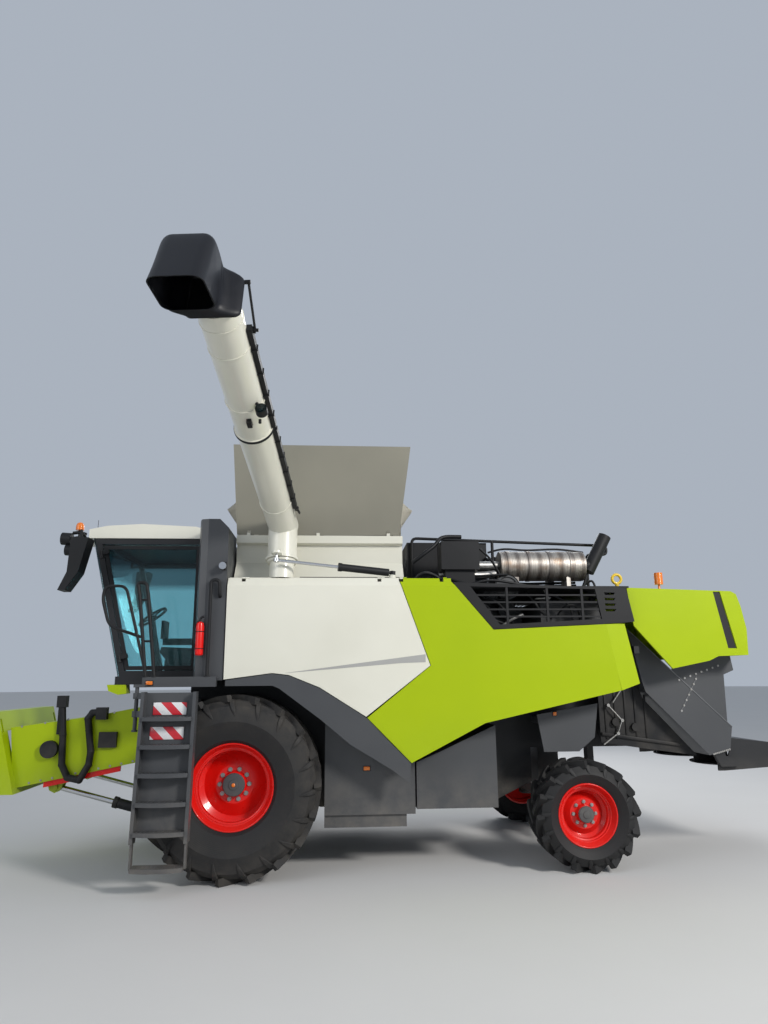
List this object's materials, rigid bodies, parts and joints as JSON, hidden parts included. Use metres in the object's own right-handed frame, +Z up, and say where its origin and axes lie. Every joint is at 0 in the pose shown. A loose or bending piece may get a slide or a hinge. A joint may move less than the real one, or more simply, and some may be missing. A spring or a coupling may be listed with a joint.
{
  "type": "combine harvester",
  "caption": "Self-propelled combine harvester without header, with swung-out unloading auger, open grain tank lids, cab, feeder house and four wheels.",
  "frame": {"origin": "middle of the footprint box on the ground under the machine", "axes": "+Z up; -X is the direction of travel, +X the rear; -Y is the left side, where the cab door and the auger are"},
  "size_m": [9.35, 6.9868, 5.1256],
  "materials": {
    "cream_paint": "satin",
    "lime_paint": "satin",
    "slate_paint": "satin",
    "frame_paint": "satin",
    "black_plastic": "matt",
    "red_paint": "satin",
    "tyre_rubber": "matt",
    "tinted_glass": "gloss",
    "olive_panel": "satin",
    "canvas": "matt",
    "rod_steel": "polished",
    "engine_metal": "satin",
    "exhaust_metal": "satin",
    "seat_fabric": "matt",
    "orange_lens": "gloss"
  },
  "bodies": {
    "chassis": {"main_body": "frame_paint", "lower_covers": "slate_paint", "engine_grilles": "black_plastic", "engine": "engine_metal", "exhaust_can": "exhaust_metal", "engine_ducts": "black_plastic", "rear_hood": "lime_paint", "chopper_housing": "slate_paint", "rear_frame": "frame_paint", "grain_tank": "cream_paint", "tank_canvas": "canvas", "cab_shell": "frame_paint", "cab_roof": "cream_paint", "roof_rear": "cream_paint", "cab_glass": "tinted_glass", "cab_interior": "seat_fabric", "cab_side_panels": "slate_paint", "cab_pod": "lime_paint", "platform": "slate_paint", "handrails": "black_plastic", "tank_hose": "black_plastic", "axles": "frame_paint", "auger_foot": "cream_paint", "mirrors": "black_plastic", "lamps": "orange_lens"},
    "feeder": {"feeder_house": "lime_paint", "feeder_fittings": "black_plastic", "feeder_hoses": "black_plastic", "safety_strut": "red_paint"},
    "lift_barrel_body": {"lift_barrels": "black_plastic"},
    "lift_rod_body": {"lift_rods": "rod_steel"},
    "front_left_wheel": {"front_left_tyre": "tyre_rubber", "front_left_rim": "red_paint"},
    "front_right_wheel": {"front_right_tyre": "tyre_rubber", "front_right_rim": "red_paint"},
    "rear_left_wheel": {"rear_left_tyre": "tyre_rubber", "rear_left_rim": "red_paint"},
    "rear_right_wheel": {"rear_right_tyre": "tyre_rubber", "rear_right_rim": "red_paint"},
    "left_knuckle_body": {"left_knuckle": "frame_paint"},
    "right_knuckle_body": {"right_knuckle": "frame_paint"},
    "auger": {"auger_tube": "cream_paint", "auger_fittings": "black_plastic"},
    "spout_body": {"spout": "black_plastic"},
    "fold_barrel_body": {"fold_barrel": "black_plastic"},
    "fold_rod_body": {"fold_rod": "rod_steel"},
    "left_door": {"door_frame": "black_plastic", "door_glass": "tinted_glass"},
    "ladder_body": {"ladder": "slate_paint"},
    "left_lid_body": {"left_tank_lid": "olive_panel"},
    "right_lid_body": {"right_tank_lid": "olive_panel"},
    "left_front_panel_body": {"left_cream_panel": "cream_paint"},
    "left_rear_panel_body": {"left_lime_panel": "lime_paint"},
    "right_front_panel_body": {"right_cream_panel": "cream_paint"},
    "right_rear_panel_body": {"right_lime_panel": "lime_paint"},
    "left_rotor_body": {"left_rotor": "frame_paint"},
    "right_rotor_body": {"right_rotor": "frame_paint"}
  },
  "joints": [
    {"name": "front_left_wheel_roll", "type": "hinge", "parent": "chassis", "child": "front_left_wheel", "pos_m": [-1.775, 0.39339, 0.92], "axis": [0, 1, 0], "continuous": true},
    {"name": "front_right_wheel_roll", "type": "hinge", "parent": "chassis", "child": "front_right_wheel", "pos_m": [-1.775, 3.09339, 0.92], "axis": [0, 1, 0], "continuous": true},
    {"name": "left_steer", "type": "hinge", "parent": "chassis", "child": "left_knuckle_body", "pos_m": [1.975, 0.74339, 0.56], "axis": [0, 0, 1], "range_deg": [-40, 40]},
    {"name": "right_steer", "type": "hinge", "parent": "chassis", "child": "right_knuckle_body", "pos_m": [1.975, 2.74339, 0.56], "axis": [0, 0, 1], "range_deg": [-40, 40]},
    {"name": "rear_left_wheel_roll", "type": "hinge", "parent": "left_knuckle_body", "child": "rear_left_wheel", "pos_m": [1.975, 0.36339, 0.56], "axis": [0, 1, 0], "continuous": true},
    {"name": "rear_right_wheel_roll", "type": "hinge", "parent": "right_knuckle_body", "child": "rear_right_wheel", "pos_m": [1.975, 3.12339, 0.56], "axis": [0, 1, 0], "continuous": true},
    {"name": "feeder_lift", "type": "hinge", "parent": "chassis", "child": "feeder", "pos_m": [-2.535, 1.74339, 1.64], "axis": [0, 1, 0], "range_deg": [-12, 18]},
    {"name": "lift_barrel_pivot", "type": "hinge", "parent": "chassis", "child": "lift_barrel_body", "pos_m": [-2.225, 1.74339, 0.36], "axis": [0, 1, 0], "range_deg": [-7.7, 11.5]},
    {"name": "lift_rod_slide", "type": "slide", "parent": "lift_barrel_body", "child": "lift_rod_body", "axis": [-0.9652, 0, 0.2614], "range_m": [-0.24, 0.36]},
    {"name": "auger_swing", "type": "hinge", "parent": "chassis", "child": "auger", "pos_m": [-1.335, 0.40339, 3.733], "axis": [0, 0.1633, 0.9866], "range_deg": [0, 90]},
    {"name": "fold_barrel_pivot", "type": "hinge", "parent": "chassis", "child": "fold_barrel_body", "pos_m": [-0.075, 0.29339, 3.165], "axis": [0.0767, 0.0538, 0.9956], "range_deg": [-5.7, 0]},
    {"name": "fold_rod_slide", "type": "slide", "parent": "fold_barrel_body", "child": "fold_rod_body", "axis": [-0.9843, -0.1551, 0.0842], "range_m": [-0.3162, 0]},
    {"name": "spout_tilt", "type": "hinge", "parent": "auger", "child": "spout_body", "pos_m": [-1.62853, -2.79486, 4.95618], "axis": [0.9962, -0.086, 0.0142], "range_deg": [-20, 0]},
    {"name": "door_swing", "type": "hinge", "parent": "chassis", "child": "left_door", "pos_m": [-3.153, 0.72339, 2.14], "axis": [0.2395, 0, -0.9709], "range_deg": [0, 42]},
    {"name": "ladder_swing", "type": "hinge", "parent": "chassis", "child": "ladder_body", "pos_m": [-2.76, -0.00861, 1.5], "axis": [0, 0, -1], "range_deg": [0, 180]},
    {"name": "left_lid_fold", "type": "hinge", "parent": "chassis", "child": "left_lid_body", "pos_m": [-1.775, 0.65839, 3.68], "axis": [-1, 0, 0], "range_deg": [0, 100], "deforming": ["tank_canvas"]},
    {"name": "right_lid_fold", "type": "hinge", "parent": "chassis", "child": "right_lid_body", "pos_m": [-1.775, 2.82839, 3.68], "axis": [-1, 0, 0], "range_deg": [-100, 0]},
    {"name": "left_front_panel_lift", "type": "hinge", "parent": "chassis", "child": "left_front_panel_body", "pos_m": [-1.775, 0.17839, 3.09], "axis": [-1, 0, 0], "range_deg": [0, 70]},
    {"name": "left_rear_panel_lift", "type": "hinge", "parent": "chassis", "child": "left_rear_panel_body", "pos_m": [-1.775, 0.17839, 3.09], "axis": [-1, 0, 0], "range_deg": [0, 70]},
    {"name": "right_front_panel_lift", "type": "hinge", "parent": "chassis", "child": "right_front_panel_body", "pos_m": [-1.775, 3.30839, 3.09], "axis": [1, 0, 0], "range_deg": [0, 70]},
    {"name": "right_rear_panel_lift", "type": "hinge", "parent": "chassis", "child": "right_rear_panel_body", "pos_m": [-1.775, 3.30839, 3.09], "axis": [1, 0, 0], "range_deg": [0, 70]},
    {"name": "left_rotor_spin", "type": "hinge", "parent": "chassis", "child": "left_rotor_body", "pos_m": [4.115, 1.22339, 1], "axis": [0, 0, 1], "continuous": true},
    {"name": "right_rotor_spin", "type": "hinge", "parent": "chassis", "child": "right_rotor_body", "pos_m": [4.115, 2.26339, 1], "axis": [0, 0, 1], "continuous": true}
  ],
  "couplings": [
    {"joint": "right_steer", "follows": "left_steer", "ratio": 1},
    {"joint": "lift_barrel_pivot", "follows": "feeder_lift", "ratio": 0.63},
    {"joint": "lift_rod_slide", "follows": "feeder_lift", "m_per_rad": 1.125},
    {"joint": "fold_barrel_pivot", "follows": "auger_swing", "ratio": -0.06},
    {"joint": "fold_rod_slide", "follows": "auger_swing", "m_per_rad": -0.2},
    {"joint": "right_lid_fold", "follows": "left_lid_fold", "ratio": -1},
    {"joint": "right_rotor_spin", "follows": "left_rotor_spin", "ratio": -1}
  ]
}
